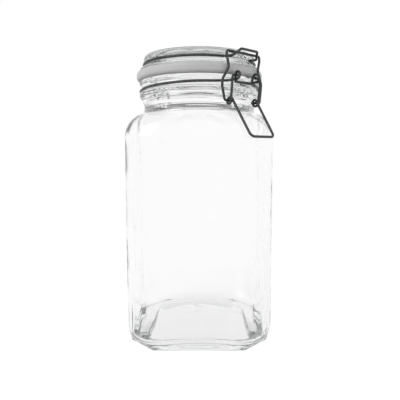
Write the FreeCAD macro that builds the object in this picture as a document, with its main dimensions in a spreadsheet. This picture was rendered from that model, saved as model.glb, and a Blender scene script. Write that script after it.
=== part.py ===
import FreeCAD, Part
import math
import os

import Sketcher

# A square glass storage jar with a clip-top lid: a square body that turns round at the neck, a round
# glass lid on a thick silicone seal, and a wire clasp that hooks over the wire round the lid.
# Frame: millimetres, +Z up, origin at the middle of the foot, the front face of the body towards -Y.
# The clasp pieces are drawn with their outward direction along +X and then turned about Z.

doc = FreeCAD.newDocument("clip_top_jar")
Vector = FreeCAD.Vector

DIMENSIONS = {
    "body_half": 55.0,
    "body_corner": 31.0,
    "wall": 3.6,
    "floor_edge": 4.5,
    "floor_rise": 6.5,
    "floor_glass": 4.2,
    "floor_dome_reach": 48.0,
    "push_up_half": 37.0,
    "push_up_flat": 29.0,
    "heel_height": 15.0,
    "heel_inset": 4.5,
    "shoulder_start": 152.0,
    "shoulder_end": 171.0,
    "shoulder_radius": 44.2,
    "neck_radius": 43.4,
    "bead_radius": 47.0,
    "groove_radius": 45.3,
    "bore_radius": 40.0,
    "bore_swell": 2.9,
    "mouth_round": 1.2,
    "neck_top": 196.0,
    "seal_radius": 49.1,
    "seal_inner": 39.6,
    "seal_thickness": 7.3,
    "lid_flange": 46.6,
    "lid_crown": 43.7,
    "lid_groove": 42.6,
    "lid_top": 215.0,
    "wire_radius": 0.9,
    "wire_gap": 0.1,
    "coil_pitch": 1.9,
    "clasp_azimuth": 41.0,
    "neck_wire_front": 191.0,
    "neck_wire_back": 187.3,
    "lid_wire_height": 208.6,
    "eyelet_out": 51.8,
    "eyelet_height": 194.3,
    "eyelet_loop": 2.7,
    "eyelet_side": 10.6,
    "coil_out": 47.8,
    "coil_height": 177.2,
    "coil_loop": 2.25,
    "coil_side": 14.1,
    "handle_out": 67.4,
    "handle_height": 152.0,
    "handle_side": 11.8,
    "link_bar_out": 48.2,
    "link_bar_height": 211.0,
    "catch_out": 53.9,
    "catch_height": 212.2,
    "catch_side": 8.1,
    "hinge_out": 51.2,
    "hinge_loop": 2.25,
    "hinge_side": 10.0,
    "hinge_leg_side": 6.4,
}

sheet = doc.addObject("Spreadsheet::Sheet", "dimensions")
for row, (alias, value) in enumerate(DIMENSIONS.items(), start=1):
    sheet.set(f"A{row}", alias)
    sheet.set(f"B{row}", str(value))
    sheet.setAlias(f"B{row}", alias)
doc.recompute()


def size(alias):
    """The value of one driving dimension, read from the sheet."""
    return float(sheet.get(alias))


WIRE = size("wire_radius")


def add_shape(name, shape, turned=False):
    """Adds one finished solid as a sub-part; a turned one is swung round to the clasp's direction."""
    feature = doc.addObject("Part::Feature", name)
    feature.Label = name
    feature.Shape = shape
    angle = size("clasp_azimuth") - 90 if turned else 0
    feature.Placement = FreeCAD.Placement(Vector(), FreeCAD.Rotation(Vector(0, 0, 1), angle))
    return feature


# ---- the square glass body --------------------------------------------------------------------


def rounded_square(half, flat, height):
    """A square outline with arcs at its corners; flat is half the straight length of each side."""
    corner = half - flat
    edges = []
    for quarter in range(4):
        turn = FreeCAD.Rotation(Vector(0, 0, 1), 90 * quarter)
        centre = Vector(flat, flat, height)
        middle = centre + Vector(1, 1, 0).normalize() * corner
        low = turn.multVec(Vector(half, -flat, height))
        start = turn.multVec(Vector(half, flat, height))
        end = turn.multVec(Vector(flat, half, height))
        edges.append(Part.LineSegment(low, start).toShape())
        edges.append(Part.Arc(start, turn.multVec(middle), end).toShape())
    return Part.Wire(edges)


def glass_block(half, flat, inset, base, heel, shoulder, top, radius):
    """A solid with the body's outline: curved heel, straight sides, and a shoulder that ends round."""
    quarter_steps = [math.radians(18 * k) for k in range(6)]
    low_flat = flat - inset
    heel_rings = [
        rounded_square(
            half - inset * (1 - math.sin(angle)),
            low_flat + inset * math.sin(angle),
            heel - (heel - base) * math.cos(angle),
        )
        for angle in quarter_steps
    ]
    shoulder_rings = [
        rounded_square(
            radius + (half - radius) * math.cos(angle),
            max(flat * math.cos(angle) ** 2, 0.4),
            shoulder + (top - shoulder) * math.sin(angle),
        )
        for angle in quarter_steps
    ]
    sides = Part.Face(heel_rings[-1]).extrude(Vector(0, 0, shoulder - heel))
    block = Part.makeLoft(heel_rings, True)
    block = block.fuse(sides)
    return block.fuse(Part.makeLoft(shoulder_rings, True))


def revolved(profile):
    """Turns a closed outline of (radius, height) points about the Z axis."""
    points = [Vector(radius, 0, height) for radius, height in profile]
    outline = Part.makePolygon(points + points[:1])
    return Part.Face(outline).revolve(Vector(), Vector(0, 0, 1), 360)


def neck_outside():
    """The neck without its bore: a waist, a bead, the groove of the neck wire and the rim."""
    top = size("neck_top")
    bead = size("bead_radius")
    groove = size("groove_radius")
    waist = size("neck_radius")
    start = size("shoulder_end")
    profile = [
        (0, start - 2),
        (waist, start - 2),
        (waist, start + 4),
        (waist + 1.1, start + 8),
        (bead - 0.9, start + 10.6),
        (bead - 0.1, start + 12),
        (bead, start + 13.2),
        (bead - 0.2, start + 14.2),
        (groove, start + 15.2),
        (groove, top - 3.6),
        (bead - 0.3, top - 3.0),
        (bead - 0.2, top - 0.8),
        (bead - 0.9, top),
        (0, top),
    ]
    return revolved(profile)


def neck_bore(low, high):
    """The hole through the neck; it swells behind the bead, so the glass stays even."""
    bore = size("bore_radius")
    swell = size("bore_swell")
    start = size("shoulder_end")
    profile = [
        (0, low),
        (bore, low),
        (bore, start + 6.5),
        (bore + 0.66 * swell, start + 9.6),
        (bore + swell, start + 13),
        (bore + 0.66 * swell, start + 16.4),
        (bore, start + 20),
        (bore, high),
        (0, high),
    ]
    return revolved(profile)


def floor_dome(top):
    """A large ball whose crown, at this height, gives the floor its shallow dome."""
    reach = size("floor_dome_reach")
    rise = size("floor_rise")
    radius = (reach**2 + rise**2) / (2 * rise)
    return Part.makeSphere(radius, Vector(0, 0, top - radius))


def make_jar_glass():
    """The jar: outer block and neck, less the cavity, the bore and the square push-up of the foot."""
    half = size("body_half")
    flat = half - size("body_corner")
    wall = size("wall")
    heel = size("heel_height")
    shoulder = size("shoulder_start")
    end = size("shoulder_end")
    radius = size("shoulder_radius")
    bore = size("bore_radius")
    top = size("neck_top")
    mouth_round = size("mouth_round")
    floor_edge = size("floor_edge")
    floor_top = floor_edge + size("floor_rise")
    outside = glass_block(half, flat, size("heel_inset"), 0, heel, shoulder, end, radius)
    outside = outside.fuse(neck_outside())
    ceiling = end - 3
    cavity = glass_block(half - wall, flat, 9, floor_edge, heel + 4, shoulder - 1, ceiling, bore - 1.5)
    cavity = cavity.cut(floor_dome(floor_top))
    flare = Part.makeCone(bore, bore + mouth_round, mouth_round, Vector(0, 0, top - mouth_round))
    square = Part.Face(rounded_square(size("push_up_half"), size("push_up_flat"), 0))
    push_up = square.extrude(Vector(0, 0, floor_top)).common(floor_dome(floor_top - size("floor_glass")))
    jar = outside.cut(cavity)
    for piece in (neck_bore(ceiling - 1.5, top + 1), flare, push_up):
        jar = jar.cut(piece)
    return jar


# ---- the lid and its seal ---------------------------------------------------------------------


def turned_body(name, profile):
    """A PartDesign body turned about Z from a sketch whose corners are bound to the sheet.

    Each corner is ((alias, offset), (alias, offset)) for its radius and height; a radius of None
    puts the corner on the axis."""
    body = doc.addObject("PartDesign::Body", name)
    body.Label = name
    sketch = body.newObject("Sketcher::SketchObject", name + "_profile")
    plane = [item for item in body.Origin.OriginFeatures if item.Role == "XZ_Plane"][0]
    sketch.AttachmentSupport = [(plane, "")]
    sketch.MapMode = "FlatFace"
    spots = []
    for radius, height in profile:
        out = size(radius[0]) + radius[1] if radius else 0
        spots.append(Vector(out, size(height[0]) + height[1], 0))
    count = len(spots)
    for k in range(count):
        sketch.addGeometry(Part.LineSegment(spots[k], spots[(k + 1) % count]), False)
    for k in range(count):
        sketch.addConstraint(Sketcher.Constraint("Coincident", k, 2, (k + 1) % count, 1))
    for k, (radius, height) in enumerate(profile):
        bind(sketch, "DistanceY", k, height, spots[k].y)
        if radius:
            bind(sketch, "DistanceX", k, radius, spots[k].x)
        else:
            sketch.addConstraint(Sketcher.Constraint("PointOnObject", k, 1, -2))
    turned = body.newObject("PartDesign::Revolution", name + "_turned")
    turned.Profile = sketch
    turned.ReferenceAxis = (sketch, ["V_Axis"])
    turned.Angle = 360
    doc.recompute()
    return body


def bind(sketch, kind, line, place, value):
    """Holds the start of one sketch line at a distance from the origin that follows the sheet."""
    index = sketch.addConstraint(Sketcher.Constraint(kind, -1, 1, line, 1, value))
    sketch.setExpression(f"Constraints[{index}]", f"dimensions.{place[0]} + {place[1]}")


def round_edges(body, name, radius, chosen):
    """Fillets the circular edges that chosen(radius, height) picks."""
    base = body.Tip
    names = []
    for number, edge in enumerate(base.Shape.Edges, start=1):
        if isinstance(edge.Curve, Part.Circle):
            if chosen(edge.Curve.Radius, edge.Curve.Center.z):
                names.append(f"Edge{number}")
    fillet = body.newObject("PartDesign::Fillet", name)
    fillet.Base = (base, names)
    fillet.Radius = radius
    doc.recompute()


def make_seal():
    """The silicone seal: a thick ring between the rim and the lid, with a full round outer edge."""
    low = ("neck_top", 0)
    high = ("neck_top", size("seal_thickness"))
    inner = ("seal_inner", 0)
    outer = ("seal_radius", 0)
    body = turned_body("seal", [(inner, low), (outer, low), (outer, high), (inner, high)])
    edge = size("seal_radius") - 0.5
    round_edges(body, "seal_rounding", 2.6, lambda radius, height: radius > edge)


def make_lid_glass():
    """The glass lid: a crown over a groove for the wire, a flange on the seal and a short inner lip."""
    crown = "lid_crown"
    top = "lid_top"
    flange = "lid_flange"
    under = ("neck_top", size("seal_thickness"))
    profile = [
        (None, (top, -1.4)),
        ((crown, -15), (top, -1.2)),
        ((crown, -10), (top, -0.3)),
        ((crown, -6), (top, 0)),
        ((crown, -1.8), (top, 0)),
        ((crown, -0.4), (top, -0.9)),
        ((crown, 0), (top, -2.4)),
        ((crown, -0.2), (top, -4.6)),
        (("lid_groove", 0), (top, -5.4)),
        (("lid_groove", 0), (top, -7.4)),
        ((crown, 0.4), (top, -8.5)),
        ((flange, -0.5), (top, -10.0)),
        ((flange, 0), (top, -11.0)),
        ((flange, 0), under),
        ((crown, -5.0), under),
        ((crown, -5.6), (top, -20.2)),
        ((crown, -6.6), (top, -21.6)),
        ((crown, -8.2), (top, -21.6)),
        ((crown, -9.4), (top, -20.0)),
        ((crown, -11.4), (top, -12.0)),
        ((crown, -16), (top, -9.0)),
        (None, (top, -8.4)),
    ]
    turned_body("lid_glass", profile)


# ---- bent wire --------------------------------------------------------------------------------
# A wire is drawn as a list of corners, each (point, bend radius), with one bend at every corner.
# Points are (outward, sideways, up), seen from the jar's axis towards the clasp.


def bent_wire(corners, closed=False):
    """A round wire along straight runs joined by tangent arcs, an arc never longer than its runs."""
    points = [Vector(*place) for place, bend in corners]
    bends = [bend for place, bend in corners]
    if closed:
        middle = (points[0] + points[-1]) * 0.5
        points = [middle] + points + [middle]
        bends = [0] + bends + [0]
    edges = []
    last = points[0]
    for k in range(1, len(points) - 1):
        run_in = points[k] - points[k - 1]
        run_out = points[k + 1] - points[k]
        half_turn = run_in.getAngle(run_out) / 2
        shortest = min(run_in.Length, run_out.Length)
        reach = min(bends[k] * math.tan(half_turn), 0.4999 * shortest)
        bend = reach / math.tan(half_turn)
        into = run_in.normalize()
        away = run_out.normalize()
        inward = (away - into).normalize()
        start = points[k] - into * reach
        top = points[k] + inward * bend * (1 / math.cos(half_turn) - 1)
        if (start - last).Length > 1e-4:
            edges.append(Part.LineSegment(last, start).toShape())
            last = start
        end = points[k] + away * reach
        edges.append(Part.Arc(last, top, end).toShape())
        last = end
    edges.append(Part.LineSegment(last, points[-1]).toShape())
    path = Part.Wire(edges)
    circle = Part.Circle(points[0], points[1] - points[0], WIRE)
    wire = path.makePipeShell([Part.Wire(circle.toShape())], True, False)
    expected = math.pi * WIRE**2 * path.Length
    if abs(wire.Volume / expected - 1) > 0.003:
        raise ValueError(f"a wire holds {wire.Volume:.2f} mm3 and should hold {expected:.2f}")
    return wire


def arc_corners(radius, start, end, pieces, place):
    """Corners whose bends run together into an arc; place(out, across, share) puts each in space."""
    step = (end - start) / pieces
    reach = radius / math.cos(math.radians(step / 2))
    corners = []
    for k in range(pieces):
        angle = math.radians(start + step * (k + 0.5))
        share = (k + 0.5) / pieces
        corners.append((place(reach * math.cos(angle), reach * math.sin(angle), share), radius))
    return corners


def coil_corners(centre, radius, start, end, side, pitch):
    """A turn about a sideways axis, from angle start to end, that moves sideways by pitch."""
    pieces = max(3, round(abs(end - start) / 50))
    return arc_corners(
        radius,
        start,
        end,
        pieces,
        lambda out, up, share: (centre[0] + out, side + pitch * share, centre[1] + up),
    )


def mirrored(corners):
    """The same corners on the other side of the clasp, in the opposite order."""
    return [((place[0], -place[1], place[2]), bend) for place, bend in reversed(corners)]


def ring_end(radius, side, run):
    """The ring angle where a straight run along the tangent ends at a sideways distance."""
    reach = math.hypot(radius, run)
    return math.degrees(math.asin(side / reach)), math.degrees(math.atan2(run, radius))


def make_neck_wire():
    """The ring in the neck's groove, its two front eyelets and the hinge bar at the back."""
    front = size("neck_wire_front")
    back = size("neck_wire_back")
    radius = size("groove_radius") + WIRE + size("wire_gap")
    side = size("eyelet_side")
    loop = size("eyelet_loop")
    pitch = size("coil_pitch")
    centre = (size("eyelet_out"), size("eyelet_height"))
    rise = (front - back) / (2 * radius)
    run = 2.6
    inner_side = side - pitch - 2.4
    angle, swing = ring_end(radius, inner_side, run)
    half = arc_corners(radius, 0, angle - swing, 1, lambda x, y, share: (x, y, front))
    inner = math.sqrt(radius**2 - inner_side**2)
    half.append(((inner + 0.4, inner_side, front), 1.5))
    half.append(((centre[0] - loop, side - pitch - 0.6, front - 0.4), 1.0))
    half += coil_corners(centre, loop, 185, -90, side - pitch, pitch)
    outer_side = side + 0.4
    angle, swing = ring_end(radius, outer_side, run)
    bar_out = -size("hinge_out")
    bar_side = size("hinge_side")
    back_angle, back_swing = ring_end(radius, bar_side, run)
    half.append(((math.sqrt(radius**2 - outer_side**2) - 0.3, outer_side, centre[1] - loop), 1.6))
    half += arc_corners(
        radius,
        angle + swing,
        180 - back_angle - back_swing,
        10,
        lambda x, y, share: (x, y, (front + back) / 2 + rise * x),
    )
    half.append(((-math.sqrt(radius**2 - bar_side**2), bar_side, back), 1.8))
    half.append(((bar_out, bar_side, back), 2.0))
    return bent_wire(half + mirrored(half), closed=True)


def make_lid_wire():
    """The wire round the lid: two hinge loops at the back, and the raised catch at the front."""
    radius = size("lid_groove") + WIRE + size("wire_gap")
    height = size("lid_wire_height")
    hinge = (-size("hinge_out"), size("neck_wire_back"))
    loop = size("hinge_loop")
    leg = size("hinge_leg_side")
    run = 2.4
    half = [((hinge[0] + loop * math.cos(1.1), leg, hinge[1] + loop * math.sin(1.1)), 0)]
    half += coil_corners(hinge, loop, 408, 180, leg, 0)
    half.append(((hinge[0] - loop, leg, height), 2.2))
    angle, swing = ring_end(radius, leg, run)
    half.append(((-math.sqrt(radius**2 - leg**2), leg, height), 2.0))
    catch_root = 12.4
    front_angle, front_swing = ring_end(radius, catch_root, run)
    half += arc_corners(
        radius,
        180 - angle - swing,
        front_angle + front_swing,
        10,
        lambda x, y, share: (x, y, height),
    )
    half.append(((math.sqrt(radius**2 - catch_root**2), catch_root, height), 2.0))
    half.append(((size("link_bar_out") + 1.2, catch_root - 0.4, height - 0.7), 2.0))
    half.append(((size("catch_out"), size("catch_side"), size("catch_height")), 1.8))
    return bent_wire(half + mirrored(half))


def make_lever():
    """The lever: its ends turn in the eyelets, a coil on each arm carries the link, then the handle."""
    pivot = (size("eyelet_out"), size("eyelet_height"))
    coil = (size("coil_out"), size("coil_height"))
    side = size("coil_side")
    pitch = size("coil_pitch")
    half = [((pivot[0], size("eyelet_side") - pitch - 0.5, pivot[1]), 0)]
    half.append(((pivot[0], side, pivot[1]), 1.6))
    half += coil_corners(coil, size("coil_loop"), -7, -325, side, -pitch)
    half.append(((size("handle_out"), size("handle_side"), size("handle_height")), 3.5))
    return bent_wire(half + mirrored(half))


def make_link():
    """The link: its ends pass through the lever's coils and its bar hooks over the lid's wire."""
    coil = (size("coil_out"), size("coil_height"))
    side = size("coil_side")
    bar_out = size("link_bar_out")
    bar_height = size("link_bar_height")
    half = [
        ((coil[0], side - 4.6, coil[1]), 0),
        ((coil[0], side + 3.7, coil[1]), 1.8),
        ((coil[0] - 0.6, side + 5.6, coil[1] + 9.8), 8),
        ((coil[0] - 0.2, side + 5.6, coil[1] + 14.3), 5),
        ((bar_out + 0.4, side + 0.4, bar_height - 11), 5),
        ((bar_out + 0.2, side + 2.3, bar_height - 4), 5),
        ((bar_out, side + 2.5, bar_height), 1.8),
    ]
    return bent_wire(half + mirrored(half))


# ---- the whole jar ----------------------------------------------------------------------------

add_shape("jar_glass", make_jar_glass())
make_lid_glass()
make_seal()
add_shape("neck_wire", make_neck_wire(), turned=True)
add_shape("lid_wire", make_lid_wire(), turned=True)
add_shape("lever_wire", make_lever(), turned=True)
add_shape("link_wire", make_link(), turned=True)
doc.recompute()

NODES = ("jar_glass", "neck_wire", "lid_glass", "seal", "lid_wire", "lever_wire", "link_wire")
for item in doc.Objects:
    if {"Invalid", "Error"} & set(item.State):
        raise RuntimeError(f"{item.Label} failed: {item.State}")
os.makedirs("parts", exist_ok=True)
for name in NODES:
    shape = doc.getObject(name).Shape
    if shape.isNull() or not shape.isValid() or len(shape.Solids) != 1:
        raise RuntimeError(f"{name} is not one valid solid")
    print(f"{name}: {shape.Volume / 1000:.2f} cm3, {len(shape.Faces)} faces")
    shape.exportStep(f"parts/{name}.step")
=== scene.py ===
import math
from collections import namedtuple

import bpy
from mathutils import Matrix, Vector, noise


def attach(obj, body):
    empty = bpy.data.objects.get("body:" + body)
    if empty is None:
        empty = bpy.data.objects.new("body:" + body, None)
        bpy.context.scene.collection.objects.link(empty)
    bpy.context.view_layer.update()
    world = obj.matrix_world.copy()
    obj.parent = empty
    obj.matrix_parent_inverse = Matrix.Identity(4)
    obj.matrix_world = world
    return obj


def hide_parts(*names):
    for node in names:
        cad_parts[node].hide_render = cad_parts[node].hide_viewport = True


# A clear glass clip-top jar: a square body with a round neck, a glass lid on a silicone seal, and a
# dark wire clasp. The CAD's wires are shown as they are. The glass and the seal are finer pieces,
# worked out here in millimetres and scaled to metres as each mesh is made.

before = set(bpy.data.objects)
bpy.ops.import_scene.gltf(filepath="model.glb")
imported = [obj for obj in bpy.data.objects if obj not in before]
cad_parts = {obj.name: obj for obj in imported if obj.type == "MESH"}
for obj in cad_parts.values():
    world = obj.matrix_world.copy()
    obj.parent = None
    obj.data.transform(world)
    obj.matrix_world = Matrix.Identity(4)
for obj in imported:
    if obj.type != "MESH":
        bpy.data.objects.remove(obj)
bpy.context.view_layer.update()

MM = 0.001
COLUMNS = 256
BEARINGS = [2 * math.pi * column / COLUMNS for column in range(COLUMNS)]

# A turned outline is a square whose half straight side is down to ROUND. A corner that is cut
# straight keeps a rise of LEAST_BULGE, so that its circle has a radius.
ROUND = 0.4
LEAST_BULGE = 0.001

# The body's outside, from the foot up. FOOT is the foot's half straight side and the bulge of its
# corners.
BODY_HALF = 55.0
BODY_FLAT = 24.0
FOOT = (33.0, 0.0)
HEEL_HEIGHT = 15.0
HEEL_INSET = 4.5
HEEL_STEPS = 12
WALL_PITCH = 5
SHOULDER_START = 152.0
SHOULDER_END = 171.0
SHOULDER_RADIUS = 44.2
SHOULDER_TURN = math.radians(78)
SHOULDER_STEPS = 14

# The body's inside, from the floor up, before the dome lifts it. The ceiling is 4 to 5 mm higher than
# the CAD's near the neck, so the shoulder's glass is thinner than the CAD's.
WALL = 3.6
FLOOR_HEIGHT = 4.5
FLOOR_RINGS = (0, 7, 14, 21, 28, 34, 40)
INNER_FOOT = (20.0, 1.0)
INNER_INSET = 7.0
INNER_HEEL = 12.0
INNER_HEEL_STEPS = 14
INNER_WALL_TOP = 151.0
CEILING_START = 153.0
CEILING_END = 171.5
CEILING_RADIUS = 41.0
CEILING_TURN = math.radians(80)

# The push-up under the foot: half width, height and share of the dome's rise at each step out from
# its middle, and the half length of its straight sides as a share of its half width.
PUSH_UP = [
    (0, 0.3, 1), (8, 0.3, 1), (16, 0.3, 1), (24, 0.3, 1), (30, 0.3, 1), (34, 0.3, 1), (36, 0.3, 1),
    (37, 0.2, 0.7), (37.6, 0, 0), (38.5, 0, 0), (43, 0, 0),
]
PUSH_UP_FLAT = 0.6

# The dome that lifts the push-up and the floor: its rise, the radius at which it is back at 0, and
# the height at which it has faded out. Beyond that radius the floor dips, and the push-up, which is
# narrower than FOOT_RING, doesn't.
DOME_RISE = 6.5
DOME_REACH = 48.0
DOME_FADE = 30.0
FOOT_RING = 37.3

# Soft waves of the inside, and streaks in its lower corners. Both run upright, so their width is
# across them and their length up the wall. The streaks begin where the product of x and y is
# STREAK_CORNER, and have faded out at the height STREAK_FADE.
WAVE_WIDTH = 26
WAVE_LENGTH = 60
WAVE_DEPTH = 0.25
STREAK_WIDTH = 4
STREAK_LENGTH = 40
STREAK_DEPTH = 0.7
STREAK_CORNER = 1100.0
STREAK_FADE = 48.0

# The turned neck as (radius, height), from the shoulder up, over the rim and down the bore. The edge
# under the wire's groove is nearly 2 mm higher than the CAD's, and the wire is sunk in it at the back.
NECK = [
    (45.0, 171.2), (44.0, 172.0), (43.5, 173.4), (43.4, 175.2), (43.6, 177.2), (44.1, 179.0),
    (44.9, 180.9), (45.9, 182.5), (46.9, 184.0), (46.9, 186.0), (46.6, 187.1), (45.6, 187.8),
    (45.3, 188.8), (45.3, 190.5), (45.3, 192.0), (45.6, 192.7),
]
RIM = [(46.7, 193.3), (46.9, 194.2), (46.6, 195.6), (45.6, 196.0), (43.5, 196.0)]
MOUTH = [(41.6, 196.0), (40.6, 195.6), (40.1, 194.6), (40.0, 193.0)]
BORE = [
    (40.3, 191.0), (41.2, 189.4), (41.9, 187.4), (42.7, 185.4), (42.9, 184.0), (42.6, 182.6),
    (41.9, 180.6), (40.9, 178.4), (40.1, 177), (40.4, 175.5), (40.9, 174),
]
RIDGE_DEPTH = 0.08
RIDGE_PITCH = 2.3

# The lid as (radius, height from its top): crown, groove, flange and the lip inside the neck.
LID_TOP = 215.0
LID = [
    (0, -1.4), (12, -1.35), (22, -1.3), (28.7, -1.2), (33.7, -0.3), (37.7, 0), (41.9, 0),
    (43.2, -0.8), (43.7, -2.4), (43.5, -4.5), (42.7, -5.3), (42.6, -6.4), (42.7, -7.5),
    (44.1, -8.5), (46.0, -9.7), (46.6, -10.6), (46.6, -11.2), (46.2, -11.65), (43.0, -11.65),
    (38.7, -11.7), (38.3, -16), (38.1, -20.2), (37.1, -21.6), (35.5, -21.6), (34.3, -20),
    (33.2, -15.5), (32.3, -12), (30.5, -10.2), (27.7, -9), (18, -8.6), (9, -8.45), (0, -8.4),
]

# The seal, between the neck's rim and the lid's flange.
NECK_TOP = 196.0
SEAL_TOP = 203.3
SEAL_GAP = 0.04
SEAL_HOLE = 39.6
SEAL_SEAT = 43.0
SEAL_RADIUS = 49.1
SEAL_ROUNDING = 2.6
SEAL_STEPS = 8

# The part of a noise texture's range that most of its values fall in.
NOISE_LOW = 0.25
NOISE_HIGH = 0.75

# The rays that see the white background; the others carry light, and get none from it. The floor
# glows a little more for the camera than for the glass.
SEEN = ["Is Camera Ray", "Is Glossy Ray", "Is Transmission Ray"]
FLOOR_GLOW = 0.7
FLOOR_EXTRA = 0.1
FLOOR_SHADE = (0.4, 0.4, 0.4, 1)
FLOOR_RADIUS = 0.5
FLOOR_COLUMNS = 96
FLOOR_DROP = 0.0002

# The light of the room, from straight below to straight above: share of the way up and strength.
ROOM = [(0.0, 0.8), (0.40, 0.995), (0.60, 0.995), (0.80, 0.70), (1.0, 0.45)]


# ---- outlines ---------------------------------------------------------------------------------


def outline(bearing, half, flat, bulge):
    """Distance from the axis to a square with its corners cut; flat is half a straight side.

    A corner with a bulge of 0 is cut straight across, and one with a bulge of 1 is a full round."""
    swing = abs((bearing + math.pi / 4) % (math.pi / 2) - math.pi / 4)
    if half * math.tan(swing) <= flat:
        return half / math.cos(swing)
    cut = (half + flat) / math.sqrt(2)
    chord = (half - flat) / math.sqrt(2)
    rise = bulge * (half - flat) * (1 - 1 / math.sqrt(2)) + LEAST_BULGE
    corner = (chord**2 + rise**2) / (2 * rise)
    centre = cut + rise - corner
    aside = math.pi / 4 - swing
    return centre * math.cos(aside) + math.sqrt(corner**2 - (centre * math.sin(aside)) ** 2)


# One outline of a skin: half its width, half a straight side, the bulge of its corners, its height,
# and its shares of the dome's lift and of the inner waves.
Station = namedtuple("Station", "half flat bulge height lift wave", defaults=(0, 0))


def circle(radius, height, lift=0, wave=0):
    """A turned outline."""
    return Station(radius, ROUND, 1, height, lift, wave)


def circles(profile):
    """Turned outlines from (radius, height) points."""
    return [circle(radius, height) for radius, height in profile]


def eased(path, rounds):
    """Cuts the corners of a path again and again, so it turns smoothly inside its outline."""
    for _ in range(rounds):
        cut = [path[0]]
        for first, second in zip(path, path[1:]):
            for share in (0.25, 0.75):
                cut.append(Station(*(a + (b - a) * share for a, b in zip(first, second))))
        cut.append(path[-1])
        path = cut
    return path


def heel(half, inset, foot, base, top, steps, lift=0, wave=0):
    """Stations round the lower edge, from the foot's (flat, bulge) up to the straight sides."""
    made = []
    for k in range(steps + 1):
        turn = math.pi / 2 * k / steps
        rise = math.sin(turn)
        flat = foot[0] + (BODY_FLAT - foot[0]) * rise
        bulge = foot[1] + (1 - foot[1]) * rise
        height = top - (top - base) * math.cos(turn)
        made.append(Station(half - inset * (1 - rise), flat, bulge, height, lift, wave))
    return made


def shoulder(half, radius, base, top, last, wave=0):
    """Stations over the shoulder, where the square turns round, as far as the turn called last."""
    made = []
    for k in range(SHOULDER_STEPS + 1):
        turn = last * k / SHOULDER_STEPS
        reach = radius + (half - radius) * math.cos(turn)
        flat = max(BODY_FLAT * math.cos(turn) ** 2, ROUND)
        made.append(Station(reach, flat, 1, base + (top - base) * math.sin(turn), 0, wave))
    return made


def straight(half, base, top, wave=0):
    """Stations up a straight wall, without its two ends."""
    count = round((top - base) / WALL_PITCH)
    rise = (top - base) / count
    return [Station(half, BODY_FLAT, 1, base + rise * k, 0, wave) for k in range(1, count)]


# ---- meshes -----------------------------------------------------------------------------------


def make_object(name, vertices, faces):
    """A smooth-shaded mesh object from points in millimetres."""
    mesh = bpy.data.meshes.new(name)
    mesh.from_pydata([Vector(place) * MM for place in vertices], [], faces)
    mesh.validate()
    mesh.polygons.foreach_set("use_smooth", [True] * len(mesh.polygons))
    mesh.update()
    made = bpy.data.objects.new(name, mesh)
    bpy.context.scene.collection.objects.link(made)
    return made


def around(bearing, reach, height):
    """The point at a bearing, a distance from the axis and a height."""
    return Vector((reach * math.cos(bearing), reach * math.sin(bearing), height))


def quad(low, high, column):
    """The face between two rings, given by their first vertices, from one column to the next."""
    after = (column + 1) % COLUMNS
    return (low + column, low + after, high + after, high + column)


def skin(name, stations):
    """A closed skin through outlines from one point of the axis to another."""
    first, last = stations[0], stations[-1]
    vertices = [Vector((0, 0, first.height)) + shift(Vector(), first)]
    for station in stations[1:-1]:
        for bearing in BEARINGS:
            reach = outline(bearing, station.half, station.flat, station.bulge)
            place = around(bearing, reach, station.height)
            vertices.append(place + shift(place, station))
    end = len(vertices)
    vertices.append(Vector((0, 0, last.height)) + shift(Vector(), last))
    top = end - COLUMNS
    faces = []
    for column in range(COLUMNS):
        after = (column + 1) % COLUMNS
        faces.append((0, 1 + after, 1 + column))
        for low in range(1, top, COLUMNS):
            faces.append(quad(low, low + COLUMNS, column))
        faces.append((top + column, top + after, end))
    return make_object(name, vertices, faces)


def ring_skin(name, profile):
    """A closed ring turned from a closed outline of (radius, height) points."""
    vertices = []
    for radius, height in profile:
        for bearing in BEARINGS:
            vertices.append(around(bearing, radius, height))
    faces = []
    for ring in range(len(profile)):
        low = ring * COLUMNS
        high = (ring + 1) % len(profile) * COLUMNS
        for column in range(COLUMNS):
            faces.append(quad(low, high, column))
    return make_object(name, vertices, faces)


# ---- the jar ----------------------------------------------------------------------------------


def ridged(profile):
    """A profile, all but its last point, with the fine rings that a mould leaves round it."""
    made = []
    for (near, low), (far, high) in zip(profile, profile[1:]):
        for share in (0, 0.33, 0.67):
            height = low + (high - low) * share
            ring = RIDGE_DEPTH * math.sin(2 * math.pi * height / RIDGE_PITCH)
            made.append((near + (far - near) * share + ring, height))
    return made


def jar_outside():
    """The middle of the foot, the walls and the shoulder, up to the neck."""
    made = [Station(half, half * PUSH_UP_FLAT, 1, height, lift) for half, height, lift in PUSH_UP]
    made += heel(BODY_HALF, HEEL_INSET, FOOT, 0, HEEL_HEIGHT, HEEL_STEPS)
    made += straight(BODY_HALF, HEEL_HEIGHT, SHOULDER_START)
    made += shoulder(BODY_HALF, SHOULDER_RADIUS, SHOULDER_START, SHOULDER_END, SHOULDER_TURN)
    return made


def jar_inside():
    """The cavity, from the middle of its floor up to the bore."""
    half = BODY_HALF - WALL
    made = [circle(radius, FLOOR_HEIGHT, 1, 1) for radius in FLOOR_RINGS]
    made += heel(half, INNER_INSET, INNER_FOOT, FLOOR_HEIGHT, INNER_HEEL, INNER_HEEL_STEPS, 1, 1)
    made += straight(half, INNER_HEEL, INNER_WALL_TOP, 1)
    made += shoulder(half, CEILING_RADIUS, CEILING_START, CEILING_END, CEILING_TURN, 1)
    return made


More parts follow.
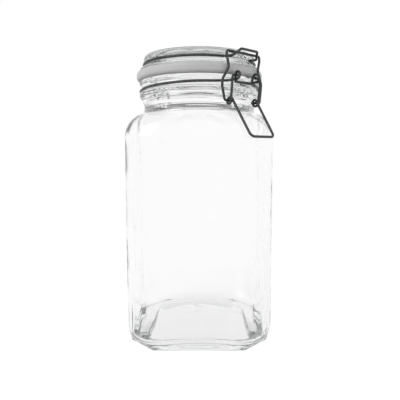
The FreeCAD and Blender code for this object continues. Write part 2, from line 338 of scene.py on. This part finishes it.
def shift(place, station):
    """How far a point moves: the dome's lift, soft waves inside, and streaks low in the corners."""
    dome = DOME_RISE * (1 - (place.xy.length / DOME_REACH) ** 2)
    lift = station.lift * dome * max(1 - station.height / DOME_FADE, 0)
    if station.half < FOOT_RING and not station.wave:
        lift = max(lift, 0)
    broad = Vector((place.x / WAVE_WIDTH, place.y / WAVE_WIDTH, place.z / WAVE_LENGTH))
    fine = Vector((place.x / STREAK_WIDTH, place.y / STREAK_WIDTH, place.z / STREAK_LENGTH))
    corner = max(abs(place.x * place.y) / STREAK_CORNER - 1, 0) * max(1 - place.z / STREAK_FADE, 0)
    wave = noise.noise(broad) * WAVE_DEPTH
    wave += noise.noise(fine) * STREAK_DEPTH * corner
    outward = Vector((place.x, place.y, 0)).normalized()
    return outward * wave * station.wave + Vector((0, 0, lift))


def make_jar():
    """The jar's glass: one skin up the outside, over the rim and down inside."""
    neck = circles(ridged(NECK) + RIM + MOUTH + BORE)
    jar = skin("jar_glass_fine", eased(jar_outside() + neck + jar_inside()[::-1], 1))
    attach(jar, "jar")
    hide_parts("jar_glass")
    return jar


# ---- the lid and its seal ---------------------------------------------------------------------


def make_lid():
    """The glass lid, turned from its outline."""
    stations = eased(circles([(radius, LID_TOP + drop) for radius, drop in LID]), 2)
    lid = skin("lid_glass_fine", stations[::-1])
    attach(lid, "lid")
    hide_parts("lid_glass")
    return lid


def make_seal():
    """The silicone ring, rounded at its two outer edges, with a small clearance to the glass."""
    low, high = NECK_TOP + SEAL_GAP, SEAL_TOP - SEAL_GAP
    edge = SEAL_RADIUS - SEAL_ROUNDING
    turns = [math.pi / 2 * step / SEAL_STEPS for step in range(1, SEAL_STEPS)]
    profile = [(SEAL_HOLE, low), (SEAL_SEAT, low), (edge, low)]
    for turn in turns:
        reach = SEAL_RADIUS - SEAL_ROUNDING * (1 - math.sin(turn))
        profile.append((reach, low + SEAL_ROUNDING * (1 - math.cos(turn))))
    profile += [(SEAL_RADIUS, low + SEAL_ROUNDING), (SEAL_RADIUS, high - SEAL_ROUNDING)]
    for turn in turns:
        reach = SEAL_RADIUS - SEAL_ROUNDING * (1 - math.cos(turn))
        profile.append((reach, high - SEAL_ROUNDING * (1 - math.sin(turn))))
    profile += [(edge, high), (SEAL_SEAT, high), (SEAL_HOLE, high)]
    seal = ring_skin("seal_fine", profile)
    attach(seal, "lid")
    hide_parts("seal")
    return seal


# ---- materials --------------------------------------------------------------------------------


def new_material(name):
    """A node material, with its tree and its shader."""
    material = bpy.data.materials.new(name)
    material.use_nodes = True
    shader = material.node_tree.nodes["Principled BSDF"]
    return material, material.node_tree, shader


def add_noise(tree, scale, detail=2.0):
    """Noise fixed to the piece, scale in waves per metre."""
    place = tree.nodes.new("ShaderNodeTexCoord")
    texture = tree.nodes.new("ShaderNodeTexNoise")
    texture.inputs["Scale"].default_value = scale
    texture.inputs["Detail"].default_value = detail
    tree.links.new(place.outputs["Object"], texture.inputs["Vector"])
    return texture.outputs["Fac"]


def add_range(tree, source, low, high):
    """Stretches a noise value to a range."""
    ranged = tree.nodes.new("ShaderNodeMapRange")
    ranged.inputs["From Min"].default_value = NOISE_LOW
    ranged.inputs["From Max"].default_value = NOISE_HIGH
    ranged.inputs["To Min"].default_value = low
    ranged.inputs["To Max"].default_value = high
    tree.links.new(source, ranged.inputs["Value"])
    return ranged.outputs["Result"]


def add_roughness(tree, shader, source, low, high):
    """Roughness that follows a noise value between two limits."""
    tree.links.new(add_range(tree, source, low, high), shader.inputs["Roughness"])


def add_bump(tree, shader, source, depth):
    """A surface that follows a noise value, depth in metres."""
    bump = tree.nodes.new("ShaderNodeBump")
    bump.inputs["Strength"].default_value = 1.0
    bump.inputs["Distance"].default_value = depth
    tree.links.new(source, bump.inputs["Height"])
    tree.links.new(bump.outputs["Normal"], shader.inputs["Normal"])


def clear_glass():
    """Soda-lime glass: nearly neutral, with the slow ripples of a moulded surface."""
    material, tree, shader = new_material("clear_glass")
    shader.inputs["Base Color"].default_value = (1.0, 1.0, 1.0, 1)
    shader.inputs["IOR"].default_value = 1.5
    shader.inputs["Transmission Weight"].default_value = 1.0
    add_roughness(tree, shader, add_noise(tree, scale=90), low=0.0, high=0.03)
    add_bump(tree, shader, add_noise(tree, scale=55, detail=1.0), depth=0.00025)
    absorb = tree.nodes.new("ShaderNodeVolumeAbsorption")
    absorb.inputs["Color"].default_value = (0.82, 0.83, 0.83, 1)
    absorb.inputs["Density"].default_value = 25.0
    out = next(node for node in tree.nodes if node.type == "OUTPUT_MATERIAL")
    tree.links.new(absorb.outputs["Volume"], out.inputs["Volume"])
    return material


def silicone():
    """Milky silicone: soft sheen, light passes a little way in, and a faintly uneven surface."""
    material, tree, shader = new_material("silicone")
    shader.inputs["Base Color"].default_value = (0.53, 0.535, 0.53, 1)
    shader.inputs["Subsurface Weight"].default_value = 0.35
    shader.inputs["Subsurface Radius"].default_value = (1.0, 1.0, 1.0)
    shader.inputs["Subsurface Scale"].default_value = 0.002
    add_roughness(tree, shader, add_noise(tree, scale=900, detail=4.0), low=0.38, high=0.55)
    add_bump(tree, shader, add_noise(tree, scale=2500, detail=3.0), depth=0.00002)
    return material


def clasp_wire():
    """Drawn steel with a slightly uneven dark finish."""
    material, tree, shader = new_material("clasp_wire")
    shader.inputs["Metallic"].default_value = 0.9
    colour = tree.nodes.new("ShaderNodeMix")
    colour.data_type = "RGBA"
    colour.inputs["A"].default_value = (0.035, 0.036, 0.038, 1)
    colour.inputs["B"].default_value = (0.09, 0.092, 0.095, 1)
    cloud = add_noise(tree, scale=600, detail=5.0)
    tree.links.new(add_range(tree, cloud, low=0.0, high=1.0), colour.inputs["Factor"])
    tree.links.new(colour.outputs["Result"], shader.inputs["Base Color"])
    add_roughness(tree, shader, add_noise(tree, scale=1500, detail=3.0), low=0.3, high=0.5)
    add_bump(tree, shader, add_noise(tree, scale=3000, detail=2.0), depth=0.00001)
    return material


def finish_nodes(names, material):
    """Gives the CAD nodes that are shown as they are their finish."""
    for name in names:
        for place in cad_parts[name].material_slots:
            place.material = material


# ---- the studio -------------------------------------------------------------------------------


def add_math(tree, operation, first, second):
    """A math node on two values, each a socket or a number."""
    made = tree.nodes.new("ShaderNodeMath")
    made.operation = operation
    for socket, value in zip(made.inputs, (first, second)):
        if isinstance(value, (int, float)):
            socket.default_value = value
        else:
            tree.links.new(value, socket)
    return made.outputs[0]


def seen_by(tree, names):
    """1 for a ray of any of the named kinds, 0 for the others."""
    paths = tree.nodes.new("ShaderNodeLightPath")
    total = paths.outputs[names[0]]
    for name in names[1:]:
        total = add_math(tree, "MAXIMUM", total, paths.outputs[name])
    return total


def room_light(tree):
    """Soft light from all round, a little weaker from below and much weaker from above."""
    place = tree.nodes.new("ShaderNodeTexCoord")
    split = tree.nodes.new("ShaderNodeSeparateXYZ")
    tree.links.new(place.outputs["Generated"], split.inputs["Vector"])
    height = tree.nodes.new("ShaderNodeMapRange")
    height.inputs["From Min"].default_value = -1
    height.inputs["From Max"].default_value = 1
    tree.links.new(split.outputs["Z"], height.inputs["Value"])
    ramp = tree.nodes.new("ShaderNodeValToRGB")
    ramp.color_ramp.interpolation = "EASE"
    tree.links.new(height.outputs["Result"], ramp.inputs["Fac"])
    while len(ramp.color_ramp.elements) < len(ROOM):
        ramp.color_ramp.elements.new(0.5)
    for element, (share, strength) in zip(ramp.color_ramp.elements, ROOM):
        element.position = share
        element.color = (strength, strength, strength, 1)
    room = tree.nodes.new("ShaderNodeBackground")
    tree.links.new(ramp.outputs["Color"], room.inputs["Color"])
    return room.outputs[0]


def make_world():
    """A white backdrop for every ray that sees it, and the room's light for the rest."""
    world = bpy.data.worlds.new("studio")
    bpy.context.scene.world = world
    world.use_nodes = True
    tree = world.node_tree
    tree.nodes.clear()
    backdrop = tree.nodes.new("ShaderNodeBackground")
    backdrop.inputs["Color"].default_value = (1, 1, 1, 1)
    mix = tree.nodes.new("ShaderNodeMixShader")
    out = tree.nodes.new("ShaderNodeOutputWorld")
    tree.links.new(seen_by(tree, SEEN), mix.inputs["Fac"])
    tree.links.new(room_light(tree), mix.inputs[1])
    tree.links.new(backdrop.outputs[0], mix.inputs[2])
    tree.links.new(mix.outputs[0], out.inputs["Surface"])


def pale_floor():
    """Matt grey with a glow on top, which only the rays that see the background pick up."""
    material = bpy.data.materials.new("pale_floor")
    material.use_nodes = True
    tree = material.node_tree
    tree.nodes.clear()
    matt = tree.nodes.new("ShaderNodeBsdfDiffuse")
    matt.inputs["Color"].default_value = FLOOR_SHADE
    glow = tree.nodes.new("ShaderNodeEmission")
    by_camera = add_math(tree, "MULTIPLY", seen_by(tree, ["Is Camera Ray"]), FLOOR_EXTRA)
    by_all = add_math(tree, "MULTIPLY", seen_by(tree, SEEN), FLOOR_GLOW)
    tree.links.new(add_math(tree, "ADD", by_camera, by_all), glow.inputs["Strength"])
    both = tree.nodes.new("ShaderNodeAddShader")
    out = tree.nodes.new("ShaderNodeOutputMaterial")
    tree.links.new(matt.outputs[0], both.inputs[0])
    tree.links.new(glow.outputs[0], both.inputs[1])
    tree.links.new(both.outputs[0], out.inputs["Surface"])
    return material


def make_floor():
    """A round floor, just under the foot, that takes the jar's soft shadow."""
    bpy.ops.mesh.primitive_circle_add(vertices=FLOOR_COLUMNS, radius=FLOOR_RADIUS, fill_type="NGON")
    floor = bpy.context.object
    floor.name = "floor"
    floor.location.z = -FLOOR_DROP
    floor.data.materials.append(pale_floor())


def make_lamp(name, place, target, width, power):
    """A square area lamp at a place, turned to a target."""
    data = bpy.data.lights.new(name, "AREA")
    data.shape = "RECTANGLE"
    data.size = width
    data.size_y = width
    data.energy = power
    lamp = bpy.data.objects.new(name, data)
    lamp.location = place
    lamp.rotation_euler = (Vector(target) - Vector(place)).to_track_quat("-Z", "Y").to_euler()
    bpy.context.scene.collection.objects.link(lamp)


def make_camera(place, down, lens, shift_x, shift_y):
    """A camera in front of the jar, looking down by some degrees."""
    data = bpy.data.cameras.new("camera")
    data.sensor_width = 36
    data.lens = lens
    data.shift_x = shift_x
    data.shift_y = shift_y
    camera = bpy.data.objects.new("camera", data)
    camera.location = place
    camera.rotation_euler = (math.radians(90 - down), 0, 0)
    bpy.context.scene.collection.objects.link(camera)
    bpy.context.scene.camera = camera


jar = make_jar()
lid = make_lid()
seal = make_seal()
glass = clear_glass()
jar.data.materials.append(glass)
lid.data.materials.append(glass)
seal.data.materials.append(silicone())
finish_nodes(["neck_wire", "lid_wire", "lever_wire", "link_wire"], clasp_wire())
make_world()
make_floor()
make_camera(place=(0.0037, -0.346, 0.1425), down=4.84, lens=38.52, shift_x=-0.01, shift_y=-0.0328)
make_lamp("soft_left", place=(-0.9, -0.6, 0.7), target=(0, 0, 0.1), width=0.8, power=4)

scene = bpy.context.scene
scene.view_settings.view_transform = "Standard"
# A ray crosses many walls of glass on its way to the camera.
scene.cycles.max_bounces = 64
scene.cycles.transmission_bounces = 40
scene.cycles.glossy_bounces = 40
